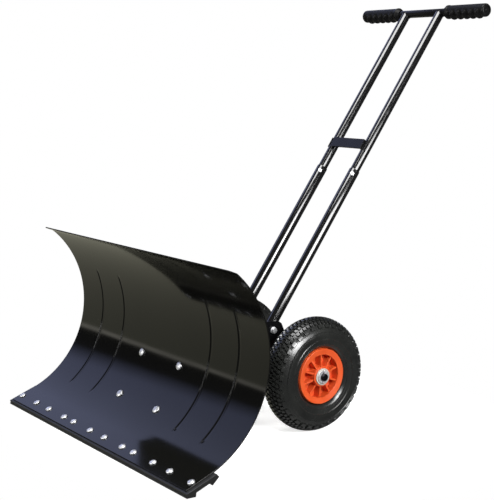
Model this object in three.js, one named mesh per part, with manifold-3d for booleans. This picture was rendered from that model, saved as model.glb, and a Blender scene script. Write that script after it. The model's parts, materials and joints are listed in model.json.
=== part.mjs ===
// Wheeled snow shovel: a wide curved pusher blade that swings left and right on a
// vertical pivot, carried by a two-wheeled frame with a telescoping T-handle.
// Millimetres, +Z up. The blade faces -Y, the handle rises towards +Y, and the wheels
// and the wear strip stand on Z = 0.

import * as THREE from "three";
import Module from "manifold-3d";
import { mergeVertices } from "three/addons/utils/BufferGeometryUtils.js";

const wasm = await Module();
wasm.setup();

// ---------------------------------------------------------------- driving dimensions

const gap = 0.3;                    // air left between two pieces that touch
const rad = Math.PI / 180;

const axleY = 20.56;                // axle behind the centre of the whole shovel
const wheelRadius = 130;            // 260 mm wheel
const axleZ = wheelRadius;

// blade sheet, seen from the side as an arc about a line parallel to X
const bladeWidth = 740;
const bladeRadius = 220;            // front (hollow) face
const bladeCentreY = -523;          // from the axle
const bladeCentreZ = 237;
const bladeTopAngle = 52.5;         // degrees above the horizontal
const bladeLowAngle = -67.5;        // where the flat tail starts
const sheetThickness = 2.5;
const lipLength = 21;
const lipRise = 19;                 // degrees, slope of the folded top lip
const tailSlope = 90 + bladeLowAngle;
const tailSetBack = 3;              // strip showing in front of the sheet's lower edge
const ribOffsets = [174.5, 272.5];  // pressed ribs, from the middle
const ribTopAngle = 23.5;
const ribLowAngle = -52;
const ribWidth = 13;
const ribDepth = 2.6;

// reversible wear strip with a foot along each long edge
const stripWidth = 756;
const stripDepth = 72;
const stripWeb = 9;
const stripFrontHeight = 9;
const stripFootWidth = 21;
const stripBoltPair = 74;
const stripBoltGaps = [61, 44];     // between pairs, in turn
const stripBoltCount = 12;
const stripBoltSetBack = 26;

// bracket behind the blade and its vertical pivot
const bladeBoltX = 75.5;
const bladeBoltAngles = [-18.5, -45.8];
const mountWidth = 190;
const mountThickness = 4;
const mountTopAngle = -9;
const mountLowAngle = -55;
const pivotY = -215;                // from the axle
const plateThickness = 5;
const yokeLowZ = 89;
const yokeHighZ = 156;
const yokeHalfWidth = 62;
const gussetX = 42;
const gussetRearY = -252;
const pivotBoltRadius = 6;          // M12
const pivotFlats = 19;              // its spanner size
const pivotSleeveRadius = 12;
const yokeNoseRadius = 28;
const pivotNoseRadius = 26;
const knobRadius = 20;
const knobLobes = 5;
const slotRadius = 55;
const slotHalfAngle = 30;
const sectorRadius = 68;

// frame
const sidePlateX = 73.3;            // middle of the plate
const sidePlateThickness = 4;
const axleTubeRadius = 12.7;
const axleTubeHalf = 110.6;
const axleRadius = 8;
const axleHalf = 190;
const cotterX = 186;
const boltRadius = 4;               // M8
const boltFlats = 13;               // its spanner size
const spreader = { y: -38, z: 198, height: 30 };
const cotterRadius = 1.8;
const washerRadius = 15;
const washerThickness = 2;

// handle: its plane leans back from the vertical, distances run up along the tubes
const handleX = 58;
const handleRun = 0.668;            // Y per Z
const handleBaseY = -111.4;         // tube line at handleBaseZ
const handleBaseZ = 150;
const lowerTube = { outer: 12.7, inner: 11.5, from: 20, to: 517 };
const upperTube = { outer: 11, inner: 9.8, from: 407, to: 976 };
const barAlong = 980;
const barRadius = 9.5;
const barHalf = 203;
const gripInner = 77;
const gripOuter = 208;
const gripRadius = 15.8;
const crossPlate = { half: 54, from: 570, to: 596, thickness: 4 };
const footBoltAlong = [37, 87];
const heightScrewAlong = 503;

// wheel
const wheelX = 146;
const tyreHalfWidth = 38;
const beadRadius = 63;
const hubRimHalf = 32;
const hubRimInner = 48.5;           // radius where the dished face meets the rim
const hubWebHalf = 14;
const hubBossHalf = 32.5;
const hubBossRadius = 23;
const hubBore = 12.4;
const hubRibs = 10;
const hubRibHalf = 26;
const bushBarrel = 12;
const bushFlangeRadius = 19;
const bushFlange = 2.2;

// ---------------------------------------------------------------- materials

function paint(name, color, roughness, metalness) {
  return new THREE.MeshStandardMaterial({ name, color, roughness, metalness });
}

const blackPaint = paint("black gloss paint", 0x17181a, 0.25, 0.3);
const zinc = paint("zinc plate", 0xd6d8da, 0.3, 0.9);
const stripMaterial = paint("black wear strip", 0x232323, 0.6, 0);
const tyreRubber = paint("tyre rubber", 0x262728, 0.75, 0);
const hubPlastic = paint("orange-red plastic", 0xe8501f, 0.4, 0);
const bushPlastic = paint("cream nylon", 0xe4dccb, 0.5, 0);
const gripRubber = paint("black grip", 0x1c1c1d, 0.6, 0);
const knobPlastic = paint("black knob plastic", 0x161616, 0.5, 0);

// ---------------------------------------------------------------- solid modelling

function welded(geometry) {
  const bare = geometry.clone();
  bare.deleteAttribute("normal");
  bare.deleteAttribute("uv");
  return mergeVertices(bare, 1e-4);
}

function toSolid(geometry) {
  const merged = welded(geometry);
  const corners = merged.index.array;
  const kept = [];
  for (let i = 0; i < corners.length; i += 3) {
    const [a, b, c] = [corners[i], corners[i + 1], corners[i + 2]];
    if (a !== b && b !== c && c !== a) kept.push(a, b, c);
  }
  const mesh = new wasm.Mesh({
    numProp: 3,
    vertProperties: new Float32Array(merged.attributes.position.array),
    triVerts: new Uint32Array(kept),
  });
  return new wasm.Manifold(mesh);
}

function toGeometry(solid) {
  const mesh = solid.getMesh();
  const geometry = new THREE.BufferGeometry();
  geometry.setAttribute("position", new THREE.BufferAttribute(mesh.vertProperties, 3));
  geometry.setIndex(new THREE.BufferAttribute(mesh.triVerts, 1));
  geometry.computeVertexNormals();
  return geometry;
}

function joined(geometries) {
  return toGeometry(geometries.map(toSolid).reduce((sum, next) => sum.add(next)));
}

function cut(geometry, cutters) {
  return toGeometry(cutters.map(toSolid).reduce((left, next) => left.subtract(next), toSolid(geometry)));
}

// A solid of revolution about Z; the profile is [radius, z] with the solid on its left.
function turned(profile, sides) {
  const points = profile.map(([r, z]) => new THREE.Vector2(r, z));
  return new THREE.LatheGeometry(points, sides).rotateX(Math.PI / 2);
}

function disc(radius, low, high, sides = 16) {
  return turned([[0, low], [radius, low], [radius, high], [0, high]], sides);
}

function pipe(outer, inner, low, high, sides = 16) {
  return turned([[inner, low], [outer, low], [outer, high], [inner, high], [inner, low]], sides);
}

function hexagon(acrossFlats, low, high) {
  return disc(acrossFlats / 2 / Math.cos(30 * rad), low, high, 6);
}

function alongX(geometry) {
  return geometry.rotateY(Math.PI / 2);
}

function outline(points) {
  return new THREE.Shape(points.map(([u, v]) => new THREE.Vector2(u, v)));
}

// An outline in the side view (Y, Z), given a thickness along X about X = middle.
function sidePrism(shape, thickness, middle = 0) {
  const options = { depth: thickness, bevelEnabled: false, curveSegments: 12 };
  const geometry = new THREE.ExtrudeGeometry(shape, options);
  geometry.translate(0, 0, -thickness / 2);
  geometry.applyMatrix4(new THREE.Matrix4().makeBasis(
    new THREE.Vector3(0, 1, 0), new THREE.Vector3(0, 0, 1), new THREE.Vector3(1, 0, 0)));
  return geometry.translate(middle, 0, 0);
}

// An outline in the plan view (X, Y), given a thickness upwards from Z = low.
function planPrism(shape, low, thickness) {
  const options = { depth: thickness, bevelEnabled: false, curveSegments: 10 };
  return new THREE.ExtrudeGeometry(shape, options).translate(0, 0, low);
}

// Points of an arc about (u, v), both ends included.
function arcPoints(u, v, radius, from, to, steps) {
  const points = [];
  for (let i = 0; i <= steps; i += 1) {
    const angle = (from + ((to - from) * i) / steps) * rad;
    points.push([u + radius * Math.cos(angle), v + radius * Math.sin(angle)]);
  }
  return points;
}

// ---------------------------------------------------------------- scene helpers

const shovel = new THREE.Group();
const onAxle = new THREE.Group();   // everything is laid out from the axle's middle
onAxle.position.set(0, axleY, 0);
shovel.add(onAxle);

function piece(name, geometry, material, parent = onAxle) {
  const mesh = new THREE.Mesh(geometry, material);
  mesh.name = name;
  parent.add(mesh);
  return mesh;
}

const sides = [["left", -1], ["right", 1]];

// ---------------------------------------------------------------- blade

function bladeArc(radius, from, to, steps) {
  return arcPoints(bladeCentreY, bladeCentreZ, radius, from, to, steps);
}

// The tail runs straight on from the arc; the wear strip lies flat against its back.
const tailTurn = tailSlope * rad;
const [[tailTopY, tailTopZ]] = bladeArc(bladeRadius, bladeLowAngle, bladeLowAngle, 1);
const stripBelowFace = sheetThickness + gap;
const faceAboveStrip = stripFrontHeight + stripBelowFace / Math.cos(tailTurn);
const stripFrontY = tailTopY - (tailTopZ - faceAboveStrip) / Math.tan(tailTurn);

// Section of the sheet: its front face, then the same face moved back by its thickness.
function bladeSection() {
  const lipTurn = lipRise * rad;
  const tailLength = (tailTopY - stripFrontY - tailSetBack) / Math.cos(tailTurn);
  const face = (offset) => {
    const arc = bladeArc(bladeRadius + offset, bladeLowAngle, bladeTopAngle, 24);
    const [lowY, lowZ] = arc[0];
    const [highY, highZ] = arc[arc.length - 1];
    const tailEnd = [lowY - tailLength * Math.cos(tailTurn), lowZ - tailLength * Math.sin(tailTurn)];
    const lipEnd = [highY - lipLength * Math.cos(lipTurn), highZ + lipLength * Math.sin(lipTurn)];
    return [tailEnd, ...arc, lipEnd];
  };
  return outline([...face(sheetThickness), ...face(0).reverse()]);
}

// A band that follows the blade's curve, between two radii.
function bladeBand(inner, outer, from, to) {
  return outline([...bladeArc(outer, from, to, 12), ...bladeArc(inner, to, from, 12)]);
}

// Stands a geometry built along +Z off the blade, pointing at the centre of its curve.
function ontoBlade(geometry, x, angle, radius) {
  const place = new THREE.Object3D();
  place.rotation.x = (90 + angle) * rad;
  place.position.set(x, ...bladeArc(radius, angle, angle, 1)[0]);
  place.updateMatrix();
  return geometry.applyMatrix4(place.matrix);
}

// Domed bolt with its nut. The head stands on Z = 0 and the shank points down.
function domedBolt({ headRadius, headHeight, shank, acrossFlats, nutHeight, grip }) {
  const rim = 0.8;
  const dome = [[0, 0], [headRadius, 0]];
  for (const turn of [0, 35, 65]) {
    const height = rim + (headHeight - rim) * Math.sin(turn * rad);
    dome.push([headRadius * Math.cos(turn * rad), height]);
  }
  dome.push([0, headHeight]);
  const nutLow = -grip - nutHeight;
  return joined([
    turned(dome, 12),
    disc(shank, nutLow - 1.5, rim / 2, 8),
    hexagon(acrossFlats, nutLow, -grip),
  ]);
}

const bladeBolt = { headRadius: 9, headHeight: 4.5, shank: 3.9, acrossFlats: 13, nutHeight: 6.5 };
const stripBolt = { headRadius: 7.6, headHeight: 4, shank: 2.9, acrossFlats: 10, nutHeight: 5 };
const holeClearance = 0.6;

const bladeBoltPlaces = [];
for (const [height, angle] of [["upper", bladeBoltAngles[0]], ["lower", bladeBoltAngles[1]]]) {
  for (const [side, sign] of sides) {
    bladeBoltPlaces.push({ name: `blade_bolt_${height}_${side}`, x: sign * bladeBoltX, angle });
  }
}

const stripBoltPlaces = [];
let boltX = -(stripBoltCount / 2 * stripBoltPair + 3 * stripBoltGaps[0] + 2 * stripBoltGaps[1]) / 2;
for (let i = 0; i < stripBoltCount; i += 1) {
  stripBoltPlaces.push({ name: `strip_bolt_${String(i + 1).padStart(2, "0")}`, x: boltX });
  const pairDone = i % 2 === 1;
  boltX += pairDone ? stripBoltGaps[((i - 1) / 2) % 2] : stripBoltPair;
}

// The strip's own frame: Y runs up its slope from the front edge, Z stands off its top.
const onStrip = new THREE.Group();
onStrip.position.set(0, stripFrontY, stripFrontHeight);
onStrip.rotation.x = tailTurn;
onAxle.add(onStrip);
onStrip.updateMatrix();

function stripHole(x, radius) {
  return disc(radius, -30, 30, 8).translate(x, stripBoltSetBack, 0);
}

function bladeSheet() {
  const back = bladeRadius + sheetThickness;
  const ribs = ribOffsets.flatMap((x) => [-x, x]);
  const ridgeShape = bladeBand(back - 0.5, back + ribDepth, ribLowAngle, ribTopAngle);
  const grooveShape = bladeBand(bladeRadius - 2, bladeRadius + ribDepth, ribLowAngle + 1, ribTopAngle - 1);
  const grooveWidth = ribWidth - 2 * sheetThickness;
  const plain = sidePrism(bladeSection(), bladeWidth);
  const ridged = joined([plain, ...ribs.map((x) => sidePrism(ridgeShape, ribWidth, x))]);
  const boltHoles = bladeBoltPlaces.map(({ x, angle }) =>
    ontoBlade(disc(bladeBolt.shank + holeClearance, -20, 20, 12), x, angle, bladeRadius));
  const stripHoles = stripBoltPlaces.map(({ x }) =>
    stripHole(x, stripBolt.shank + holeClearance).applyMatrix4(onStrip.matrix));
  const grooves = ribs.map((x) => sidePrism(grooveShape, grooveWidth, x));
  return cut(ridged, [...grooves, ...boltHoles, ...stripHoles]);
}

piece("blade", bladeSheet(), blackPaint);

// Both feet slope so that the one in front lies flat on the ground.
function stripSection() {
  const frontFoot = [
    [0, 0],
    [-stripFrontHeight * Math.sin(tailTurn), -stripFrontHeight * Math.cos(tailTurn)],
  ];
  const [edgeY, edgeZ] = frontFoot[1];
  const footY = edgeY + stripFootWidth * Math.cos(tailTurn);
  const footZ = edgeZ - stripFootWidth * Math.sin(tailTurn);
  frontFoot.push([footY, footZ], [footY + 3.5, -stripWeb]);
  const rearFoot = frontFoot.map(([y, z]) => [stripDepth - y, z]).reverse();
  return outline([...frontFoot, ...rearFoot]);
}

const stripBody = sidePrism(stripSection(), stripWidth);
const stripHoles = stripBoltPlaces.map(({ x }) => stripHole(x, stripBolt.shank + holeClearance));
piece("wear_strip", cut(stripBody, stripHoles), stripMaterial, onStrip);

for (const { name, x } of stripBoltPlaces) {
  const headZ = stripBelowFace + gap;
  const bolt = piece(name, domedBolt({ ...stripBolt, grip: headZ + stripWeb + gap }), zinc, onStrip);
  bolt.position.set(x, stripBoltSetBack, headZ);
}

const headRelief = 0.5;             // flat head over the hollow face
const mountFront = bladeRadius + sheetThickness + gap;
const mountBack = mountFront + mountThickness;
for (const { name, x, angle } of bladeBoltPlaces) {
  const grip = headRelief + mountBack - bladeRadius + gap;
  const bolt = domedBolt({ ...bladeBolt, grip });
  piece(name, ontoBlade(bolt, x, angle, bladeRadius - headRelief), zinc);
}

// ---------------------------------------------------------------- bracket behind the blade

const mountBody = sidePrism(bladeBand(mountFront, mountBack, mountLowAngle, mountTopAngle), mountWidth);
const mountHoles = bladeBoltPlaces.map(({ x, angle }) =>
  ontoBlade(disc(bladeBolt.shank + holeClearance, -20, 20, 12), x, angle, bladeRadius));
piece("blade_mount_plate", cut(mountBody, mountHoles), blackPaint);

// Everything welded behind the mount plate is shaped to its round back.
const mountClearance = alongX(disc(mountBack + gap, -150, 150, 96))
  .translate(0, bladeCentreY, bladeCentreZ);

for (const [side, sign] of sides) {
  const low = yokeLowZ + plateThickness + gap;
  const high = yokeHighZ - gap;
  const web = outline([[-350, low], [gussetRearY, low], [gussetRearY, high], [-350, high]]);
  const gusset = sidePrism(web, plateThickness, sign * gussetX);
  piece(`bracket_gusset_${side}`, cut(gusset, [mountClearance]), blackPaint);
}

const pivotHole = disc(pivotBoltRadius + 0.5, 60, 200).translate(0, pivotY, 0);
const yokeShoulderY = pivotY - 45;

function yokeOutline(noseRadius, noseHalfAngle) {
  const nose = arcPoints(0, pivotY, noseRadius, 90 - noseHalfAngle, 90 + noseHalfAngle, 14);
  const front = [[-yokeHalfWidth, -350], [yokeHalfWidth, -350]];
  return outline([...front, [yokeHalfWidth, yokeShoulderY], ...nose, [-yokeHalfWidth, yokeShoulderY]]);
}

const lowerYoke = planPrism(yokeOutline(yokeNoseRadius, 80), yokeLowZ, plateThickness);
piece("yoke_plate_lower", cut(lowerYoke, [mountClearance, pivotHole]), blackPaint);

// The upper plate runs on into a sector with the slot that sets the blade's angle.
const knobY = pivotY + slotRadius;
const studRadius = 3.8;
const slotEnd = slotHalfAngle + 6;
const slotShape = outline([
  ...arcPoints(0, pivotY, slotRadius + studRadius + 1, 90 - slotEnd, 90 + slotEnd, 12),
  ...arcPoints(0, pivotY, slotRadius - studRadius - 1, 90 + slotEnd, 90 - slotEnd, 12),
]);
const slot = planPrism(slotShape, yokeHighZ - 5, 20);
const upperYoke = planPrism(yokeOutline(sectorRadius, slotHalfAngle + 17), yokeHighZ, plateThickness);
piece("yoke_plate_upper", cut(upperYoke, [mountClearance, pivotHole, slot]), blackPaint);

// ---------------------------------------------------------------- frame

const pivotPlateLowZ = yokeLowZ + plateThickness + 0.5;
const pivotPlateHighZ = yokeHighZ - plateThickness - 0.5;
const frameInside = sidePlateX - sidePlateThickness / 2 - gap;
const pivotPlateRearY = -60;

function pivotPlateOutline() {
  const nose = arcPoints(0, pivotY, pivotNoseRadius, 200, 340, 12);
  const shoulder = pivotY + 45;
  const right = [[frameInside, shoulder], [frameInside, pivotPlateRearY]];
  const left = [[-frameInside, pivotPlateRearY], [-frameInside, shoulder]];
  return outline([...nose, ...right, ...left]);
}

const studHole = disc(studRadius + 0.5, 100, 200, 12).translate(0, knobY, 0);
const lowerPlate = planPrism(pivotPlateOutline(), pivotPlateLowZ, plateThickness);
const upperPlate = planPrism(pivotPlateOutline(), pivotPlateHighZ, plateThickness);
piece("pivot_plate_lower", cut(lowerPlate, [pivotHole]), blackPaint);
piece("pivot_plate_upper", cut(upperPlate, [pivotHole, studHole]), blackPaint);

const sleeveLow = pivotPlateLowZ + plateThickness + gap;
const sleeveHigh = pivotPlateHighZ - gap;
const sleeve = pipe(pivotSleeveRadius, pivotBoltRadius + 0.5, sleeveLow, sleeveHigh);
piece("pivot_sleeve", sleeve, blackPaint).position.set(0, pivotY, 0);

const yokeTop = yokeHighZ + plateThickness;
const pivotNutTop = yokeLowZ - gap;
const pivotBolt = joined([
  hexagon(pivotFlats, yokeTop + gap, yokeTop + gap + 7.5),
  disc(pivotBoltRadius, pivotNutTop - 13, yokeTop + 2),
  hexagon(pivotFlats, pivotNutTop - 10, pivotNutTop),
]);
piece("pivot_bolt", pivotBolt, zinc).position.set(0, pivotY, 0);

const weldNutTop = pivotPlateHighZ - gap;
const weldNutBody = hexagon(boltFlats, weldNutTop - 6.5, weldNutTop);
const weldNut = cut(weldNutBody, [disc(studRadius + gap, 0, 200, 12)]);
piece("angle_knob_nut", weldNut, zinc).position.set(0, knobY, 0);

// Lobed hand knob with its stud: the flange stands on Z = 0.
function handKnob() {
  const lobeRadius = 7;
  const lobeCentre = knobRadius - lobeRadius;
  const lobes = [];
  for (let i = 0; i < knobLobes; i += 1) {
    const turn = ((i * 360) / knobLobes + 90) * rad;
    const lobe = disc(lobeRadius, 7, 20, 10);
    lobes.push(lobe.translate(lobeCentre * Math.cos(turn), lobeCentre * Math.sin(turn), 0));
  }
  return joined([
    turned([[0, 0], [9, 0], [9, 2], [8, 7], [14, 7.5], [14, 20], [0, 20]], 15),
    disc(studRadius, -24, 1, 8),
    ...lobes,
  ]);
}
piece("angle_knob", handKnob(), knobPlastic).position.set(0, knobY, yokeTop + gap);

// ---------------------------------------------------------------- handle frame of reference

// Z runs up along the tubes, -Y faces forwards off their common plane.
const onHandle = new THREE.Group();
onHandle.position.set(0, handleBaseY, handleBaseZ);
onHandle.rotation.x = -Math.atan(handleRun);
onAxle.add(onHandle);
onHandle.updateMatrix();

function footBoltHole(radius, along) {
  return alongX(disc(radius, -120, 120, 12)).translate(0, 0, along);
}

// ---------------------------------------------------------------- side plates and axle

const axleHole = alongX(disc(axleTubeRadius + gap, -120, 120, 24)).translate(0, 0, axleZ);

function sidePlateOutline() {
  const boss = arcPoints(0, axleZ, 26, -98, 58, 12);
  const head = [[-27, 212], [-39, 236], [-50, 243], [-84, 243], [-94, 237]];
  const nose = [[-167, 160], [-170, 156], [-170, 94], [-167, 91]];
  return outline([...boss, ...head, ...nose, [-40, 91]]);
}

for (const [side, sign] of sides) {
  const plate = sidePrism(sidePlateOutline(), sidePlateThickness, sign * sidePlateX);
  const boltHoles = footBoltAlong.map((along) =>
    footBoltHole(boltRadius + 0.5, along).applyMatrix4(onHandle.matrix));
  piece(`side_plate_${side}`, cut(plate, [axleHole, ...boltHoles]), blackPaint);
}

const spreaderBar = new THREE.BoxGeometry(2 * frameInside, sidePlateThickness, spreader.height);
piece("frame_spreader", spreaderBar, blackPaint).position.set(0, spreader.y, spreader.z);

const axleTube = pipe(axleTubeRadius, axleRadius + 0.5, -axleTubeHalf, axleTubeHalf);
piece("axle_tube", alongX(axleTube), blackPaint).position.set(0, 0, axleZ);

const cotterHoles = [-cotterX, cotterX].map((x) =>
  disc(cotterRadius + gap, -20, 20, 10).translate(x, 0, 0));
const axle = cut(alongX(disc(axleRadius, -axleHalf, axleHalf)), cotterHoles);
piece("axle", axle, zinc).position.set(0, 0, axleZ);

// ---------------------------------------------------------------- wheels

const bushOutside = hubBossHalf + gap + bushFlange;

// The rubber section, from one bead round the tread to the other.
function tyreSection() {
  const half = [[beadRadius, -31], [74, -36], [96, -tyreHalfWidth], [112, -35.5], [121.5, -27],
    [128, -14]];
  const otherHalf = half.map(([r, z]) => [r, -z]).reverse();
  return [...half, [wheelRadius, 0], ...otherHalf, half[0]];
}

function hubGeometry() {
  const half = [[hubBore, -hubBossHalf], [hubBossRadius, -hubBossHalf], [hubBossRadius, -hubWebHalf],
    [hubRimInner, -hubWebHalf], [hubRimInner, -hubRimHalf], [beadRadius - gap, -hubRimHalf]];
  const otherHalf = half.map(([r, z]) => [r, -z]).reverse();
  const ribs = [];
  const ribLength = hubRimInner - hubBossRadius + 1;
  const ribMiddle = hubBossRadius - 1 + ribLength / 2;
  for (let i = 0; i < hubRibs; i += 1) {
    const rib = new THREE.BoxGeometry(ribLength, 3, 2 * hubRibHalf).translate(ribMiddle, 0, 0);
    ribs.push(rib.rotateZ(((i * 360) / hubRibs) * rad));
  }
  return joined([turned([...half, ...otherHalf, half[0]], 32), ...ribs]);
}

function bushGeometry() {
  const bore = axleRadius + gap;
  const inside = 12;
  const shoulder = hubBossHalf + gap;
  return turned([[bore, inside], [bushBarrel, inside], [bushBarrel, shoulder],
    [bushFlangeRadius, shoulder], [bushFlangeRadius, bushOutside],
    [bore, bushOutside], [bore, inside]], 16);
}

for (const [side, sign] of sides) {
  const wheel = new THREE.Group();
  wheel.position.set(sign * wheelX, 0, axleZ);
  wheel.rotation.y = sign * Math.PI / 2;
  onAxle.add(wheel);
  piece(`tyre_${side}`, turned(tyreSection(), 40), tyreRubber, wheel);
  piece(`hub_${side}`, hubGeometry(), hubPlastic, wheel);
  piece(`bush_outer_${side}`, bushGeometry(), bushPlastic, wheel);
  piece(`bush_inner_${side}`, bushGeometry().rotateX(Math.PI), bushPlastic, wheel);

  const washerLow = bushOutside + gap;
  const washer = pipe(washerRadius, axleRadius + gap, washerLow, washerLow + washerThickness);
  piece(`axle_washer_${side}`, washer, zinc, wheel);
  const cotter = joined([disc(cotterRadius, -13, 13, 10), disc(2.4, 12, 16, 10)]);
  piece(`cotter_pin_${side}`, cotter, zinc).position.set(sign * cotterX, 0, axleZ);
}

// ---------------------------------------------------------------- handle

// Screws that clamp the upper tubes face halfway between forwards and +X.
const screwTurn = 45 * rad;
const screwShank = 2.9;

function placeScrew(geometry, x) {
  return geometry.rotateX(Math.PI / 2).rotateZ(screwTurn).translate(x, 0, heightScrewAlong);
}

for (const [side, sign] of sides) {
  const x = sign * handleX;

  const lower = pipe(lowerTube.outer, lowerTube.inner, lowerTube.from, lowerTube.to);
  const screwHole = placeScrew(disc(screwShank + holeClearance, 5, 25, 12), 0);
  const footHoles = footBoltAlong.map((along) => footBoltHole(boltRadius + 0.5, along));
  piece(`lower_tube_${side}`, cut(lower, [screwHole, ...footHoles]), blackPaint, onHandle).position.x = x;

  const upper = pipe(upperTube.outer, upperTube.inner, upperTube.from, upperTube.to);
  const barSeat = alongX(disc(barRadius + gap, -40, 40)).translate(0, 0, barAlong);
  piece(`upper_tube_${side}`, cut(upper, [barSeat]), blackPaint, onHandle).position.x = x;

  const head = lowerTube.outer + gap;
  const screw = joined([
    disc(screwShank, upperTube.outer + gap, head + 1, 12),
    turned([[0, head], [5, head], [5, head + 1.4], [3.4, head + 2.8], [0, head + 3]], 16),
  ]);
  piece(`height_screw_${side}`, placeScrew(screw, x), zinc, onHandle);

  const plateOutside = sidePlateX + sidePlateThickness / 2;
  const nutInside = handleX - lowerTube.outer - gap;
  for (const [i, along] of footBoltAlong.entries()) {
    const bolt = joined([
      hexagon(boltFlats, plateOutside + gap, plateOutside + gap + 5.3),
      disc(boltRadius, nutInside - 8, plateOutside + 1, 12),
      hexagon(boltFlats, nutInside - 6.5, nutInside),
    ]);
    const name = `foot_bolt_${i === 0 ? "lower" : "upper"}_${side}`;
    const mesh = piece(name, bolt, zinc, onHandle);
    mesh.rotation.y = sign * Math.PI / 2;
    mesh.position.z = along;
  }
}

const plateHeight = crossPlate.to - crossPlate.from;
const crossBar = new THREE.BoxGeometry(2 * crossPlate.half, crossPlate.thickness, plateHeight);
piece("cross_plate", crossBar, blackPaint, onHandle).position.set(
  0,
  -(upperTube.outer + gap + crossPlate.thickness / 2),
  (crossPlate.from + crossPlate.to) / 2,
);

const bar = pipe(barRadius, barRadius - 1.3, -barHalf, barHalf);
piece("t_bar", alongX(bar), blackPaint, onHandle).position.z = barAlong;

// Closed at its outer end, with a collar at the inner one.
function gripGeometry() {
  const bore = barRadius + gap;
  const seat = barHalf + gap;
  const collar = gripRadius + 1.7;
  const profile = [[bore, gripInner], [collar, gripInner], [collar, gripInner + 5]];
  profile.push([gripRadius, gripInner + 7], [gripRadius, gripOuter - 2]);
  profile.push([gripRadius - 2, gripOuter], [0, gripOuter], [0, seat], [bore, seat], [bore, gripInner]);
  return turned(profile, 16);
}

for (const [side, sign] of sides) {
  const grip = piece(`grip_${side}`, gripGeometry(), gripRubber, onHandle);
  grip.rotation.y = sign * Math.PI / 2;
  grip.position.z = barAlong;
}

export default shovel;
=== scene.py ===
# Wheeled snow shovel: the fine model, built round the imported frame. Metres, +Z up.
# The blade faces -Y, the handle rises towards +Y, and X runs along the blade.
import json
from math import asin, copysign, cos, degrees, hypot, pi, radians, sin, sqrt

import bmesh
import bpy
from mathutils import Matrix, Vector

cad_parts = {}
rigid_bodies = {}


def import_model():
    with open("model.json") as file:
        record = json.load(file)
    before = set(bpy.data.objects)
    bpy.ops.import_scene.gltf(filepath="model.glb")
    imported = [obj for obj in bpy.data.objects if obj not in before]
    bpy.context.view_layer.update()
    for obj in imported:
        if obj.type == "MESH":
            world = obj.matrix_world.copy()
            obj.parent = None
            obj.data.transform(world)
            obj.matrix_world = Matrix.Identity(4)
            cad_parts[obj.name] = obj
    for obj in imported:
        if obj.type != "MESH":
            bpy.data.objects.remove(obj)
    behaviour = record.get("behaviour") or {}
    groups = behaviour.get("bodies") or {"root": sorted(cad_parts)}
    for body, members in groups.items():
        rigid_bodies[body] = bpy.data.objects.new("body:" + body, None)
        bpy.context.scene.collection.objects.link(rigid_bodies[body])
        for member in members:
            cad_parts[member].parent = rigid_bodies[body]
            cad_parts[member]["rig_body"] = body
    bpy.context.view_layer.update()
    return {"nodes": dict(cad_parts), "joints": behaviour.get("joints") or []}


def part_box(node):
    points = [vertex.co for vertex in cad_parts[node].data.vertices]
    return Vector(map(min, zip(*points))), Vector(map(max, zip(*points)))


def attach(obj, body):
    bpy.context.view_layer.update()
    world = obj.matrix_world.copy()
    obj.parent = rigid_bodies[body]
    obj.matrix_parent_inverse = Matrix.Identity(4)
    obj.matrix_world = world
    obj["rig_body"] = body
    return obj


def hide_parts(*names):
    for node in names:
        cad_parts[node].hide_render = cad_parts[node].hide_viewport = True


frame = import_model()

nodes = frame["nodes"]
joints = {joint["name"]: joint for joint in frame["joints"]}
SIDES = (("left", -1), ("right", 1))
MM = 0.001


def mm(**sizes):
    return {name: size * MM for name, size in sizes.items()}


# -------------------- dimensions

GAP = 0.3 * MM  # air between two pieces that touch

# blade sheet: an arc about a line along X, with a folded lip and a straight tail
BLADE_RADIUS = 220 * MM  # hollow face
BLADE_TOP_ANGLE = 52.5  # degrees above the horizontal
BLADE_LOW_ANGLE = -67.5  # where the tail starts
SHEET = 2.5 * MM
LIP_LENGTH = 21 * MM
LIP_RISE = 19
TAIL_SLOPE = 90 + BLADE_LOW_ANGLE
TAIL_SET_BACK = 3 * MM
RIB_OFFSETS = (174.5 * MM, 272.5 * MM)
RIB_TOP_ANGLE = 23.5
RIB_LOW_ANGLE = -52
RIB_FADE = 1.2  # degrees over which a rib runs out
RIB_HALF_WIDTH = 4.7 * MM
RIB_WALL = 1.8 * MM  # width of each sloping side
RIB_DEPTH = 1.3 * MM  # groove in the hollow face
RIB_HEIGHT = 2.6 * MM  # ridge behind it
BLADE_BOLT = mm(head_radius=9, head_height=4.5, shank=3.9, flats=13)

# wear strip
STRIP_DEPTH = 72 * MM
STRIP_WEB = 9 * MM
STRIP_FRONT = 9 * MM
STRIP_FOOT = 21 * MM
STRIP_GROOVE = [(3.6 * MM, 0), (3.6 * MM, 1.6 * MM), (5.2 * MM, 1.6 * MM), (5.2 * MM, 0)]
STRIP_BOLT = mm(head_radius=7.6, head_height=4, shank=2.9, flats=10)
STRIP_BOLT_ROW = 26 * MM  # up the strip's top from its front edge

# bracket behind the blade
MOUNT_THICKNESS = 4 * MM
MOUNT_TOP_ANGLE = -9
MOUNT_LOW_ANGLE = -55
BLADE_BOLT_ANGLES = {"upper": -18.5, "lower": -45.8}
HEAD_RELIEF = 0.5 * MM  # how far a bolt's head is let into the hollow face
UPPER_YOKE_HALF = 55 * MM  # half the upper yoke plate's width at the mount plate
PIVOT_SLEEVE = mm(inner=6.5, outer=12)
PIVOT_BOLT_RADIUS = 6 * MM

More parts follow.
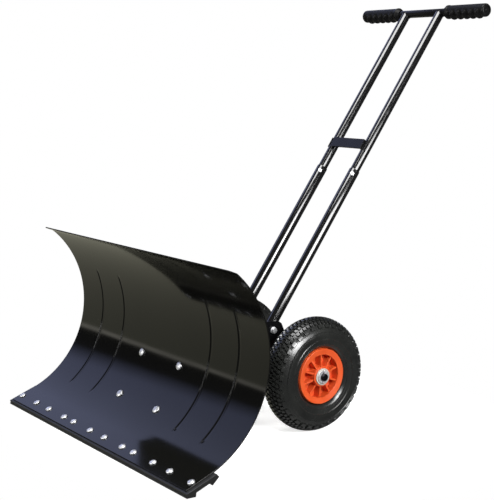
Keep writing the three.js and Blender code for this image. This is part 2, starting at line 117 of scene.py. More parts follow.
# handle, measured along the tubes from its foot
BAR_ALONG = 980 * MM
BAR_RADIUS = 9.5 * MM
BAR_WALL = 1.3 * MM
LOWER_TUBE = mm(outer=12.7, inner=11.5, low=20, high=517)
UPPER_TUBE = mm(outer=11, inner=9.8, low=407)
HEIGHT_SCREW_ALONG = 503 * MM
FOOT_BOLTS = mm(lower=37, upper=87)
FOOT_BOLT_RADIUS = 4 * MM
SCREW_SHANK = 2.9 * MM
SCREW_HEAD = 5 * MM
PLATE_ALONG = (570 * MM, 596 * MM)
PLATE_THICKNESS = 4 * MM
GRIP_RADIUS = 15.8 * MM
FINGER_PITCH = 20 * MM
FINGER_DEPTH = 5.5 * MM
GRIP_STEPS = 76  # along the length that has the finger bumps

# wheel
TYRE_CENTRE_RADIUS = 94 * MM  # middle of the tyre's round section
BEAD_RADIUS = 63 * MM
TREAD_PITCHES = 36
TREAD_DEPTH = 3.8 * MM
HUB_RIBS = 10
AXLE_RADIUS = 8 * MM
AXLE_TUBE = mm(inner=8.5, outer=12.7)
SIDE_PLATE_OUTSIDE = 75.3 * MM

# -------------------- camera

CAMERA_PLACE = (2.0359, -1.6019, 0.7280)
CAMERA_AZIMUTH = 53.006
CAMERA_ELEVATION = 7.409
CAMERA_ROLL = 2.113
CAMERA_LENS = 81.262


def make_camera():
    camera = bpy.data.objects.new("camera", bpy.data.cameras.new("camera"))
    camera.data.lens = CAMERA_LENS
    camera.data.sensor_width = 36
    azimuth = radians(CAMERA_AZIMUTH)
    elevation = radians(CAMERA_ELEVATION)
    roll = radians(CAMERA_ROLL)
    forward = Vector((-sin(azimuth) * cos(elevation),
                      cos(azimuth) * cos(elevation), -sin(elevation)))
    level = Vector((cos(azimuth), sin(azimuth), 0))
    upright = level.cross(forward)
    right = level * cos(roll) + upright * sin(roll)
    up = upright * cos(roll) - level * sin(roll)
    turn = Matrix((right, up, -forward)).transposed().to_4x4()
    camera.matrix_world = Matrix.Translation(CAMERA_PLACE) @ turn
    bpy.context.scene.collection.objects.link(camera)
    bpy.context.scene.camera = camera


# -------------------- shapes
# A shape is a list of points and a list of faces.

def polar(radius, angle):
    return radius * cos(angle), radius * sin(angle)


def arc(u, v, radius, start, end, steps):
    """Points of an arc in a plane, from one angle to another, in degrees."""
    points = []
    for i in range(steps + 1):
        angle = radians(start + (end - start) * i / steps)
        points.append((u + radius * cos(angle), v + radius * sin(angle)))
    return points


def rounded(outline, reach, steps=4, closed=True):
    """The outline with each real corner replaced by a curve that starts and ends `reach` from it."""
    count = len(outline)
    points = [Vector(p) for p in outline]
    made = []
    for i, corner in enumerate(points):
        if not closed and i in (0, count - 1):
            made.append(tuple(corner))
            continue
        before = points[i - 1] - corner
        after = points[(i + 1) % count] - corner
        if before.length < 1e-9 or after.length < 1e-9 or before.angle(-after) < radians(20):
            made.append(tuple(corner))
            continue
        start = corner + before.normalized() * min(reach, before.length * 0.45)
        end = corner + after.normalized() * min(reach, after.length * 0.45)
        for k in range(steps + 1):
            t = k / steps
            made.append(tuple(start * (1 - t) ** 2 + corner * 2 * t * (1 - t) + end * t * t))
    return made


def skin(rows, round_rows=False, round_columns=False):
    """Quads over a grid of points, joined round in either direction."""
    height, width = len(rows), len(rows[0])
    faces = []
    for i in range(height if round_columns else height - 1):
        for j in range(width if round_rows else width - 1):
            low, high = i * width, ((i + 1) % height) * width
            right = (j + 1) % width
            faces.append([low + j, low + right, high + right, high + j])
    return [tuple(p) for row in rows for p in row], faces


def lathe(profile, sides=48, widen=None):
    """A solid of revolution about Z. The profile's points are (radius, z); it ends on the axis or
    closes on itself. widen(radius, z, angle) may change the radius round the axis."""
    rows = []
    for radius, z in profile:
        row = []
        for k in range(sides):
            angle = 2 * pi * k / sides
            reach = widen(radius, z, angle) if widen else radius
            row.append((*polar(reach, angle), z))
        rows.append(row)
    on_axis = profile[0][0] < 1e-9 and profile[-1][0] < 1e-9
    return skin(rows, round_rows=True, round_columns=not on_axis)


def prism(outline, low, high):
    """An outline in X and Y given a height."""
    count = len(outline)
    points = [(x, y, z) for z in (low, high) for x, y in outline]
    faces = [[i, (i + 1) % count, count + (i + 1) % count, count + i] for i in range(count)]
    faces.append(list(range(count))[::-1])
    faces.append(list(range(count, 2 * count)))
    return points, faces


def sweep(path, radius, sides=12, closed=False):
    """A round bar along a path; radius is one number, or one for each point."""
    points = [Vector(p) for p in path]
    count = len(points)
    radii = radius if isinstance(radius, list) else [radius] * count
    rows = []
    side = None
    for i, point in enumerate(points):
        before = points[i - 1] if i or closed else point
        after = points[(i + 1) % count] if i + 1 < count or closed else point
        along = (after - before).normalized()
        side = along.orthogonal() if side is None else side
        side = (side - along * side.dot(along)).normalized()
        other = along.cross(side)
        turns = [2 * pi * k / sides for k in range(sides)]
        rows.append([point + (side * cos(a) + other * sin(a)) * radii[i] for a in turns])
    shape = skin(rows, round_rows=True, round_columns=closed)
    if not closed:
        last = (count - 1) * sides
        shape[1].append(list(range(sides))[::-1])
        shape[1].append(list(range(last, last + sides)))
    return shape


def shell(front, back):
    """A sheet between two grids of points of the same size, closed round its edge."""
    points, faces = skin(front)
    other_points, other_faces = skin(back)
    shift = len(points)
    width = len(front[0])
    height = len(front)
    faces = faces + [[shift + i for i in face[::-1]] for face in other_faces]
    edge = list(range(width))
    edge += [i * width + width - 1 for i in range(1, height)]
    edge += [(height - 1) * width + j for j in range(width - 2, -1, -1)]
    edge += [i * width for i in range(height - 2, 0, -1)]
    for a, b in zip(edge, edge[1:] + edge[:1]):
        faces.append([b, a, shift + a, shift + b])
    return points + other_points, faces


def moved(shape, matrix):
    return [tuple(matrix @ Vector(p)) for p in shape[0]], shape[1]


def together(*shapes):
    points, faces = [], []
    for more_points, more_faces in shapes:
        shift = len(points)
        points += more_points
        faces += [[shift + i for i in face] for face in more_faces]
    return points, faces


def along_x(sign=1):
    """The turn that lays +Z along X, or along -X where sign is -1."""
    return Matrix.Rotation(sign * pi / 2, 4, "Y")


def along_axis(origin, direction):
    """The matrix that puts a shape built along +Z at a point, pointing in a direction."""
    turn = Vector(direction).to_track_quat("Z", "Y").to_matrix().to_4x4()
    return Matrix.Translation(origin) @ turn


# (u, v, w) to (w, u, v): an outline in the side view, with its height along X
SIDE_VIEW = Matrix(((0, 0, 1, 0), (1, 0, 0, 0), (0, 1, 0, 0), (0, 0, 0, 1)))


# -------------------- materials

def connect(tree, node, inputs):
    """Sets a node's inputs: another node's output is linked, anything else is a constant."""
    sockets = {socket.identifier: socket for socket in node.inputs}
    for name, value in inputs.items():
        if isinstance(value, bpy.types.NodeSocket):
            tree.links.new(value, sockets[name])
        else:
            sockets[name].default_value = value


def add_node(tree, kind, inputs, **settings):
    node = tree.nodes.new(f"ShaderNode{kind}")
    for name, value in settings.items():
        setattr(node, name, value)
    connect(tree, node, inputs)
    return node


def rescaled(tree, value, old, new, blend="LINEAR"):
    """A number brought from one range, (low, high), to another."""
    inputs = {"Value": value, "From Min": old[0], "From Max": old[1], "To Min": new[0], "To Max": new[1]}
    return add_node(tree, "MapRange", inputs, interpolation_type=blend).outputs["Result"]


def ramp(tree, source, stops):
    """A colour that depends on a number; stops are (place, colour)."""
    node = add_node(tree, "ValToRGB", {"Fac": source})
    elements = node.color_ramp.elements
    while len(elements) < len(stops):
        elements.new(0.5)
    for element, (place, colour) in zip(elements, stops):
        element.position = place
        element.color = (*colour, 1)
    return node.outputs["Color"]


def texture(tree, scale, detail=None):
    """A pattern that stays with the piece: noise, or small cells where no detail is given.
    The scale is in cells per metre."""
    place = add_node(tree, "TexCoord", {}).outputs["Object"]
    if detail is None:
        return add_node(tree, "TexVoronoi", {"Scale": scale, "Vector": place}).outputs["Distance"]
    inputs = {"Scale": scale, "Detail": detail, "Vector": place}
    return add_node(tree, "TexNoise", inputs).outputs["Fac"]


def material(name, colour, roughness, metallic=0.0, specular=0.5, index=1.5):
    """A plain material and its shader."""
    made = bpy.data.materials.new(name)
    made.use_nodes = True
    shader = made.node_tree.nodes["Principled BSDF"]
    connect(made.node_tree, shader, {"Base Color": (*colour, 1), "Roughness": roughness,
                                     "Metallic": metallic, "Specular IOR Level": specular, "IOR": index})
    return made, shader


def finish(slot, name, colour, roughness, wander, tints=None, relief=(), **shine):
    """A material with texture, and its slot. `wander` is (texture, roughness range), `tints` is
    (texture, colour stops) and each part of `relief` is (texture, height in metres)."""
    made, shader = material(name, colour, roughness, **shine)
    tree = made.node_tree
    middle_values = (0.3, 0.7)
    linked = {"Roughness": rescaled(tree, texture(tree, *wander[0]), middle_values, wander[1])}
    if tints:
        linked["Base Color"] = ramp(tree, texture(tree, *tints[0]), tints[1])
    for pattern, height in relief:
        inputs = {"Distance": height, "Height": texture(tree, *pattern)}
        if "Normal" in linked:
            inputs["Normal"] = linked["Normal"]
        linked["Normal"] = add_node(tree, "Bump", inputs).outputs["Normal"]
    connect(tree, shader, linked)
    return made, slot


BLADE_PAINT = finish("blade_paint", "blade_gloss_paint", (0.0045, 0.0045, 0.004), 0.1, specular=0.28,
                     wander=((9, 5), (0.08, 0.13)), relief=[((5, 1), 0.0008), ((420, 2), 0.000006)])

FRAME_PAINT = finish("frame_paint", "frame_powder_coat", (0.004, 0.004, 0.0045), 0.2, specular=0.24,
                     wander=((30, 4), (0.14, 0.28)), relief=[((900, 2), 0.00002)])

TUBE_PAINT = finish("frame_paint", "tube_gloss_paint", (0.003, 0.003, 0.0033), 0.12, index=1.95,
                    wander=((40, 4), (0.1, 0.16)))

ZINC = finish("zinc", "zinc_plate", (0.9, 0.91, 0.93), 0.4, metallic=1.0,
              wander=((300, 4), (0.42, 0.56)),
              tints=((120, 3), [(0.3, (0.84, 0.85, 0.87)), (0.7, (0.95, 0.955, 0.97))]))

AXLE_STEEL = finish("axle_steel", "dark_steel", (0.03, 0.03, 0.032), 0.3, metallic=1.0,
                    wander=((400, 4), (0.2, 0.42)))

STRIP = finish("wear_strip", "strip_rubber", (0.007, 0.007, 0.0072), 0.46, specular=0.6,
               wander=((40, 5), (0.4, 0.55)), relief=[((700, 4), 0.00005), ((25, 2), 0.0003)])

TYRE = finish("tyre", "tyre_rubber", (0.013, 0.0135, 0.0125), 0.24, specular=0.75,
              wander=((35, 5), (0.18, 0.3)),
              tints=((22, 6), [(0.35, (0.009, 0.0095, 0.009)), (0.7, (0.017, 0.018, 0.0165))]),
              relief=[((900, 3), 0.00005), ((60, 3), 0.00025)])

HUB = finish("hub", "hub_plastic", (0.67, 0.086, 0.018), 0.38, specular=0.5,
             wander=((60, 4), (0.32, 0.48)),
             tints=((30, 4), [(0.3, (0.64, 0.077, 0.014)), (0.7, (0.7, 0.096, 0.022))]),
             relief=[((1200, 2), 0.00002)])

BUSH_NYLON = finish("bush", "bush_nylon", (0.5, 0.48, 0.43), 0.35, wander=((200, 3), (0.3, 0.45)))

GRIP = finish("grip", "grip_rubber", (0.005, 0.005, 0.005), 0.4, specular=0.16,
              wander=((160, 5), (0.3, 0.5)), relief=[((520,), 0.00008), ((90, 5), 0.0003)])

KNOB = finish("knob", "knob_plastic", (0.009, 0.009, 0.009), 0.42,
              wander=((300, 3), (0.36, 0.5)), relief=[((1500, 2), 0.00003)])


# -------------------- pieces

def piece(name, shape, look, on, replaces=(), sharp=32, bevel=0.0):
    """Makes an object from a shape. It rides with the CAD node `on`."""
    mesh = bpy.data.meshes.new(name)
    mesh.from_pydata(shape[0], [], shape[1])
    work = bmesh.new()
    work.from_mesh(mesh)
    bmesh.ops.remove_doubles(work, verts=work.verts, dist=1e-6)
    bmesh.ops.recalc_face_normals(work, faces=work.faces)
    work.to_mesh(mesh)
    work.free()
    mesh.polygons.foreach_set("use_smooth", [True] * len(mesh.polygons))
    mesh.set_sharp_from_angle(angle=radians(sharp))
    made = bpy.data.objects.new(name, mesh)
    bpy.context.scene.collection.objects.link(made)
    mesh.materials.append(look[0])
    if bevel:
        soften(made, bevel)
    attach(made, nodes[on]["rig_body"])
    if replaces:
        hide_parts(*replaces)


def stand_in(node, shape, look, place=Matrix(), **options):
    """A piece that takes the place of one CAD node; `place` puts the shape where it belongs."""
    piece(f"{node}_fine", moved(shape, place), look, node, replaces=(node,), **options)


def soften(made, width):
    edge = made.modifiers.new("edges", "BEVEL")
    edge.width = width
    edge.segments = 2
    edge.limit_method = "ANGLE"
    edge.angle_limit = radians(40)
    edge.harden_normals = True


def keep(node, look, bevel):
    """A CAD node whose shape is right: its edges are softened and it gets its material."""
    made = nodes[node]
    made.data.materials.clear()
    made.data.materials.append(look[0])
    weld = made.modifiers.new("weld", "WELD")
    weld.merge_threshold = 0.02 * MM
    soften(made, bevel)


def middle(node):
    low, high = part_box(node)
    return (low + high) / 2


def named(start):
    return [node for node in nodes if node.startswith(start)]


def line(start, end, step=1.2 * MM):
    start, end = Vector(start), Vector(end)
    count = max(2, round((end - start).length / step))
    return [start.lerp(end, i / count) for i in range(count + 1)]


def bead(path, radius=1.6 * MM, closed=False):
    """A weld bead that ripples along its path."""
    radii = [radius * (1 + 0.12 * sin(i * 2.1)) for i in range(len(path))]
    return sweep(path, radii, sides=8, closed=closed)


# -------------------- fasteners

HEAD_SHARE = 0.4  # height of a hexagonal head, of its width across flats
NUT_SHARE = 0.5
BOLT_WASHER = 1.4 * MM


def ring_shape(inner, outer, low, high, rounding, sides=48):
    """A tube, sleeve or washer about Z, with rounded edges."""
    section = [(inner, low), (outer, low), (outer, high), (inner, high)]
    return lathe(rounded(section, rounding, 3), sides)


def washer(outer, inner, low, thickness):
    return ring_shape(inner, outer, low, low + thickness, 0.4 * MM, 40)


def hexagon(flats, low, high):
    """A nut or bolt head whose corners are turned off at both ends."""
    chamfer = flats * 0.07
    face = flats * 0.475  # radius of the flat inside the chamfer

    def cut_to_flats(radius, z, angle):
        sector = (angle + pi / 6) % (pi / 3) - pi / 6
        return min(radius, flats / 2 / cos(sector))

    past_corner = flats
    profile = [(0, low), (face, low), (past_corner, low + chamfer), (past_corner, high - chamfer),
               (face, high), (0, high)]
    return lathe(profile, 48, cut_to_flats)


def thread(radius, low, high, pitch=1.1 * MM):
    """The threaded end of a bolt, with its tip chamfered at the low end."""
    tip = 0.8 * MM
    depth = 0.35 * MM
    profile = [(0, low), (radius - tip, low), (radius, low + tip)]
    z = low + tip
    while z + pitch < high:
        profile += [(radius - depth, z + pitch / 2), (radius, z + pitch)]
        z += pitch
    profile.append((0, z))
    return lathe(profile, 24)


def domed_bolt(head_radius, head_height, shank, flats, grip, length):
    """A round-headed bolt, its washer and its nut. The head stands on Z = 0."""
    rim = 0.9 * MM
    edge = 0.3 * MM
    dome = [(0, 0), (head_radius - edge, 0), (head_radius, edge), (head_radius, rim)]
    for turn in range(12, 91, 13):
        height = rim + (head_height - rim) * sin(radians(turn))
        dome.append((head_radius * cos(radians(turn)), height))
    dome[-1] = (0, head_height)
    washer_low = -grip - BOLT_WASHER
    nut_high = washer_low - 0.05 * MM
    nut_low = nut_high - flats * NUT_SHARE
    neck_radius = shank - 0.2 * MM
    neck_high = 0.1 * MM
    neck = [(0, nut_low), (neck_radius, nut_low), (neck_radius, neck_high), (0, neck_high)]
    return together(
        lathe(dome, 40),
        lathe(neck, 24),
        washer(flats * 0.92, shank, washer_low, BOLT_WASHER),
        hexagon(flats, nut_low, nut_high),
        thread(shank, -length, nut_low + 0.2 * MM),
    )


def hex_bolt(flats, shank, head_low, nut_high, tip):
    """A bolt along Z with its hexagonal head at the top and its nut near the bottom."""
    nut_low = nut_high - flats * NUT_SHARE
    stem = [(0, nut_low + MM), (shank, nut_low + MM), (shank, head_low + MM), (0, head_low + MM)]
    return together(
        hexagon(flats, head_low, head_low + flats * HEAD_SHARE),
        lathe(stem, 32),
        hexagon(flats, nut_low, nut_high),
        thread(shank - 0.1 * MM, tip, nut_low + 0.5 * MM),
    )


# -------------------- blade

blade_low, blade_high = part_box("blade")
BLADE_HALF = (blade_high.x - blade_low.x) / 2
TOP = radians(BLADE_TOP_ANGLE)
CENTRE_Y = blade_high.y - BLADE_RADIUS - SHEET - RIB_HEIGHT
CENTRE_Z = (blade_high.z - (BLADE_RADIUS + SHEET) * sin(TOP)
            - LIP_LENGTH * sin(radians(LIP_RISE)))
strip_low, strip_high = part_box("wear_strip")
TAIL_TURN = radians(TAIL_SLOPE)
STRIP_EDGE = Vector((0, strip_low.y, STRIP_FRONT))
ON_STRIP = Matrix.Translation(STRIP_EDGE) @ Matrix.Rotation(TAIL_TURN, 4, "X")


def on_arc(radius, angle):
    """Point (Y, Z) at an angle about the middle of the blade's curve."""
    turn = radians(angle)
    return CENTRE_Y + radius * cos(turn), CENTRE_Z + radius * sin(turn)


def off_blade(x, angle, radius):
    """The matrix that stands a shape built along +Z off the blade, towards the middle of its curve."""
    turn = Matrix.Rotation(radians(90 + angle), 4, "X")
    return Matrix.Translation((x, *on_arc(radius, angle))) @ turn


TAIL_STEPS = 5
ARC_STEPS = 96
LIP_STEPS = 6
LIP_BEND_STEPS = 2  # steps over which the sheet turns into the lip
WALL_STEPS = 6  # across each sloping side of a rib


def blade_rows():
    """Stations down the sheet, as (Y, Z, outward Y, outward Z, angle), from the tail to the lip."""
    low_y, low_z = on_arc(BLADE_RADIUS, BLADE_LOW_ANGLE)
    tail_length = (low_y - strip_low.y - TAIL_SET_BACK) / cos(TAIL_TURN)
    rows = []
    for i in range(TAIL_STEPS):
        back = tail_length * (1 - i / TAIL_STEPS)
        rows.append((low_y - back * cos(TAIL_TURN), low_z - back * sin(TAIL_TURN),
                     sin(TAIL_TURN), -cos(TAIL_TURN), BLADE_LOW_ANGLE))
    for i in range(ARC_STEPS + 1):
        angle = BLADE_LOW_ANGLE + (BLADE_TOP_ANGLE - BLADE_LOW_ANGLE) * i / ARC_STEPS
        turn = radians(angle)
        rows.append((*on_arc(BLADE_RADIUS, angle), cos(turn), sin(turn), angle))
    lip = radians(LIP_RISE)
    high_y, high_z = on_arc(BLADE_RADIUS, BLADE_TOP_ANGLE)
    fold = pi / 2 - lip
    for i in range(1, LIP_STEPS + 1):
        out = LIP_LENGTH * i / LIP_STEPS
        turn = TOP + (fold - TOP) * min(1, i / LIP_BEND_STEPS)
        rows.append((high_y - out * cos(lip), high_z + out * sin(lip),
                     cos(turn), sin(turn), BLADE_TOP_ANGLE))
    return rows


def smooth_step(value):
    t = min(1, max(0, value))
    return t * t * (3 - 2 * t)


def rib_share(x, angle):
    """How far into a pressed rib a place on the sheet is: 1 at its bottom, 0 outside."""
    reach = min(RIB_TOP_ANGLE - angle, angle - RIB_LOW_ANGLE) / RIB_FADE
    depth = 0
    for offset in RIB_OFFSETS:
        inside = RIB_HALF_WIDTH - abs(abs(x) - offset)
        depth = max(depth, smooth_step(inside / RIB_WALL))
    return depth * smooth_step(reach)


def blade_columns():
    """Places along the blade, close together at the ribs."""
    stops = [0, BLADE_HALF]
    for offset in RIB_OFFSETS:
        stops.append(offset)
        beside = [RIB_HALF_WIDTH - RIB_WALL * k / WALL_STEPS for k in range(WALL_STEPS + 1)]
        beside += [RIB_HALF_WIDTH + margin for margin in (0.5 * MM, 1.5 * MM)]
        for out in beside:
            stops += [offset - out, offset + out]
    coarse = 25 * MM
    steps = int(BLADE_HALF / coarse)
    for k in range(1, steps + 1):
        x = k * BLADE_HALF / (steps + 1)
        if all(abs(x - offset) > RIB_HALF_WIDTH * 1.6 for offset in RIB_OFFSETS):
            stops.append(x)
    half = sorted(stops)
    return [-x for x in half[:0:-1]] + half


def sheet(columns, rows, offset, rib):
    """The sheet's face at a distance behind its hollow face, with ribs pressed back by `rib`."""
    grid = []
    for x in columns:
        grid.append([])
        for y, z, out_y, out_z, angle in rows:
            depth = offset + rib * rib_share(x, angle)
            grid[-1].append((x, y + out_y * depth, z + out_z * depth))
    return grid


def build_blade():
    columns, rows = blade_columns(), blade_rows()
    shape = shell(sheet(columns, rows, 0, RIB_DEPTH), sheet(columns, rows, SHEET, RIB_HEIGHT))
    stand_in("blade", shape, BLADE_PAINT, sharp=50, bevel=0.5 * MM)

    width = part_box("blade_mount_plate")[1].x
    angles = [MOUNT_LOW_ANGLE + (MOUNT_TOP_ANGLE - MOUNT_LOW_ANGLE) * i / 40 for i in range(41)]
    stops = [-width, 0, width]
    front = BLADE_RADIUS + SHEET + GAP
    faces = [[[(x, *on_arc(radius, angle)) for angle in angles] for x in stops]
             for radius in (front, front + MOUNT_THICKNESS)]
    stand_in("blade_mount_plate", shell(*faces), FRAME_PAINT, sharp=50, bevel=0.8 * MM)

    grip = HEAD_RELIEF + SHEET + GAP + MOUNT_THICKNESS
    bolt = domed_bolt(**BLADE_BOLT, grip=grip, length=grip + 11 * MM)
    for node in named("blade_bolt"):
        angle = BLADE_BOLT_ANGLES["upper" if "upper" in node else "lower"]
        place = off_blade(middle(node).x, angle, BLADE_RADIUS - HEAD_RELIEF)
        stand_in(node, bolt, ZINC, place)


def strip_outline():
    """Section of the strip in its own frame: Y up its slope, Z off its top."""
    sine, cosine = sin(TAIL_TURN), cos(TAIL_TURN)

    def on_face(down, back=0):
        """A point this far down the strip's front face, and this far behind it."""
        return (back * cosine - down * sine, -down * cosine - back * sine)

    groove = [on_face(down, back) for down, back in STRIP_GROOVE]
    foot = on_face(STRIP_FRONT, STRIP_FOOT)
    front = [(0, 0), *groove, on_face(STRIP_FRONT), foot, (foot[0] + 3.5 * MM, -STRIP_WEB)]
    rear = [(STRIP_DEPTH - y, z) for y, z in front[::-1]]
    return rounded(front + rear, 0.8 * MM, 3)


def build_strip():
    bar = prism(strip_outline(), -strip_high.x, strip_high.x)
    stand_in("wear_strip", bar, STRIP, ON_STRIP @ SIDE_VIEW, sharp=40, bevel=0.5 * MM)
    head = SHEET + 2 * GAP  # the bolt heads' height over the strip's top
    grip = head + STRIP_WEB + GAP
    bolt = domed_bolt(**STRIP_BOLT, grip=grip, length=grip + 8 * MM)
    for node in named("strip_bolt"):
        place = ON_STRIP @ Matrix.Translation((middle(node).x, STRIP_BOLT_ROW, head))
        stand_in(node, bolt, ZINC, place)


# -------------------- bracket and frame

GUSSETS = named("bracket_gusset")
YOKE_PLATES = named("yoke_plate")
PIVOT_PLATES = named("pivot_plate")


def build_bracket():
    for node in (*GUSSETS, *YOKE_PLATES, *PIVOT_PLATES, *named("side_plate"), "frame_spreader"):
        keep(node, FRAME_PAINT, 0.6 * MM)
    keep("angle_knob_nut", ZINC, 0.4 * MM)

    at_pivot = Matrix.Translation((0, joints["blade_swing"]["pos_m"][1], 0))
    low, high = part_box("pivot_sleeve")
    sleeve = ring_shape(**PIVOT_SLEEVE, low=low.z, high=high.z, rounding=0.6 * MM)
    stand_in("pivot_sleeve", sleeve, FRAME_PAINT, at_pivot)
    yoke_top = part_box("yoke_plate_upper")[1].z + GAP
    yoke_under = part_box("yoke_plate_lower")[0].z - GAP
    bolt_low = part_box("pivot_bolt")[0].z
    under_head = 1.6 * MM  # thickness of the washer
    bolt = together(
        washer(15 * MM, PIVOT_BOLT_RADIUS, yoke_top, under_head),
        hex_bolt(19 * MM, PIVOT_BOLT_RADIUS, yoke_top + under_head, yoke_under, bolt_low),
    )
    stand_in("pivot_bolt", bolt, ZINC, at_pivot)

    mount_back = BLADE_RADIUS + SHEET + GAP + MOUNT_THICKNESS
    beads = []  # each just outside a plate's faces
    for node in GUSSETS:
        low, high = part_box(node)
        ends = [degrees(asin((z - CENTRE_Z) / mount_back)) for z in (low.z, high.z)]
        path = arc(CENTRE_Y, CENTRE_Z, mount_back + 0.6 * MM, *ends, 50)
        for x in (low.x - 0.8 * MM, high.x + 0.8 * MM):
            beads.append(bead([(x, y, z) for y, z in path]))
    for node in YOKE_PLATES:
        low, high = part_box(node)
        half = high.x if node.endswith("lower") else UPPER_YOKE_HALF
        for z in (low.z - 0.6 * MM, high.z + 0.6 * MM):
            y = CENTRE_Y + sqrt(mount_back ** 2 - (z - CENTRE_Z) ** 2) + 0.8 * MM
            beads.append(bead(line((-half, y, z), (half, y, z))))
    piece("bracket_welds", together(*beads), FRAME_PAINT, "yoke_plate_lower", sharp=80)


KNOB_LOBES = 5
KNOB_LOBE_DEPTH = 0.11  # of the knob's radius


def knob_shape():
    """A lobed hand knob that stands on Z = 0."""
    def lobed(radius, z, angle):
        share = smooth_step((radius - 10 * MM) / (6 * MM))
        lobe = cos(KNOB_LOBES * (angle - pi / 2))
        return radius * (1 + KNOB_LOBE_DEPTH * share * lobe)

    # radius and height in mm: foot, waist, the lobes' rim, and a dished top
    profile = [(0, 0), (9, 0), (9, 2), (8, 6.5), (15.5, 7.2), (18, 8.5), (18, 17), (16.6, 19.2),
               (12, 20), (8, 19.4), (0, 19.2)]
    profile = rounded([(r * MM, z * MM) for r, z in profile], 1.2 * MM, 4, closed=False)
    return lathe(profile, 120, lobed)


def build_knob():
    stud_y = joints["angle_knob_turn"]["pos_m"][1]
    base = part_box("yoke_plate_upper")[1].z + GAP
    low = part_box("angle_knob")[0].z
    stud = thread(3.8 * MM, low - base, 0.5 * MM)
    shape = together(knob_shape(), stud)
    stand_in("angle_knob", shape, KNOB, Matrix.Translation((0, stud_y, base)), sharp=45)


def build_axle():
    centre = middle("axle")
    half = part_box("axle")[1].x
    turn = Matrix.Translation(centre) @ along_x()
    rod = [(0, -half), (AXLE_RADIUS, -half), (AXLE_RADIUS, half), (0, half)]
    rod = rounded(rod, 1.6 * MM, 4, closed=False)
    stand_in("axle", lathe(rod, 48), AXLE_STEEL, turn)
    tube_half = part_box("axle_tube")[1].x
    tube = ring_shape(**AXLE_TUBE, low=-tube_half, high=tube_half, rounding=0.6 * MM)
    stand_in("axle_tube", tube, FRAME_PAINT, turn)

    beads = []
    for side, _ in SIDES:
        low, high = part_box(f"side_plate_{side}")
        for x in (low.x - 0.9 * MM, high.x + 0.9 * MM):
            ring = arc(centre.y, centre.z, AXLE_TUBE["outer"] + 0.7 * MM, 0, 360, 72)[:-1]
            beads.append(bead([(x, y, z) for y, z in ring], 1.8 * MM, closed=True))
        inside = low.x if side == "right" else high.x
        away = -0.6 * MM if side == "right" else 0.6 * MM
        for node in PIVOT_PLATES:
            plate_low, plate_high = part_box(node)
            start = middle(node).y - 20 * MM
            for z in (plate_low.z - 0.5 * MM, plate_high.z + 0.5 * MM):
                path = line((inside + away, start, z), (inside + away, plate_high.y, z))
                beads.append(bead(path))
    piece("frame_welds", together(*beads), FRAME_PAINT, "axle_tube", sharp=80)

    for side, _ in SIDES:
        low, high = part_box(f"axle_washer_{side}")
        shape = washer(15 * MM, AXLE_RADIUS + GAP, low.x, high.x - low.x)
        place = Matrix.Translation((0, centre.y, centre.z)) @ along_x()
        stand_in(f"axle_washer_{side}", shape, ZINC, place)
        build_cotter(side, centre)


PIN_WIRE = 1.5 * MM  # radius through the axle; the eye and the legs are thinner
PIN_EYE = 2.6 * MM
PIN_EYE_HEIGHT = 13.2 * MM
PIN_BEND = 3 * MM  # radius of each leg's bend


def build_cotter(side, centre):
    """A split pin: an eye on top and two legs bent apart round the axle."""
    x = middle(f"cotter_pin_{side}").x
    eye = arc(centre.y, centre.z + PIN_EYE_HEIGHT, PIN_EYE, -60, 240, 15)
    stem = [(x, centre.y, centre.z + 11.5 * MM), (x, centre.y, centre.z - 11 * MM)]
    shapes = [sweep([(x, y, z) for y, z in eye], 1.1 * MM, 10), sweep(stem, PIN_WIRE, 12)]
    for direction in (-1, 1):
        leg = [(x, centre.y + direction * 0.5 * MM, centre.z - 9.8 * MM)]
        for turn in (20, 45, 70, 90):
            reach = radians(turn)
            across = 0.6 * MM + PIN_BEND * (1 - cos(reach))
            down = 10.2 * MM + PIN_BEND * sin(reach)
            leg.append((x, centre.y + direction * across, centre.z - down))
        shapes.append(sweep(leg, 0.9 * MM, 10))
    stand_in(f"cotter_pin_{side}", together(*shapes), ZINC)


# -------------------- wheels

# The tyre's section as distances from its round centre, by angle from the tread's middle.
TYRE_SECTION = [(0, 36), (15, 36.2), (30, 37.0), (45, 38.0), (55, 38.3), (70, 38.2), (90, 38.0),
                (108, 38.3), (117, 39.6), (126, 40.6), (134, 40.3), (138, 39.7)]
# Rows of blocks: first angle, last angle, stagger in pitches, blocks in a pitch.
TREAD_ROWS = [(0, 5.5, 0.0, 2), (9.5, 18, 0.5, 2), (22, 31, 0.0, 2),
              (35, 45, 0.25, 2), (49, 61, 0.0, 1)]
TREAD_RAMP = 1.3  # degrees over which the side of a row slopes
BLOCK_SHARE = 0.6  # of its space that a block fills
BLOCK_RAMP = 0.05  # of a pitch
CHEVRON = 0.3  # of a pitch, from the middle of the tread to its shoulder
SHALLOW_FROM = 50  # degrees; the grooves get shallower from here to the tread's edge
SHALLOW_BY = 1.4 * MM
SHOULDER = 66  # degrees; the blocks' slant ends here
SIDE_STEP = 2 * MM  # how far the tread stands off the side, blended over SIDE_BLEND
SIDE_BLEND = 26
SIDE_RINGS = [(77.5, 1.0, 0.8), (103, 1.3, 0.9), (121, 1.6, 0.8)]  # angle, half width, height in mm
SIDE_STATIONS = (66, 69, 72, 75, 82, 86, 90, 94, 98, 106, 110, 114, 117, 124, 126, 129, 132, 134, 136, 138)
BEAD_HALF_WIDTH = 24 * MM


def section_radius(angle):
    for (low, near), (high, far) in zip(TYRE_SECTION, TYRE_SECTION[1:]):
        if low <= angle <= high:
            t = (angle - low) / (high - low)
            return (near + (far - near) * t) * MM
    return TYRE_SECTION[-1][1] * MM


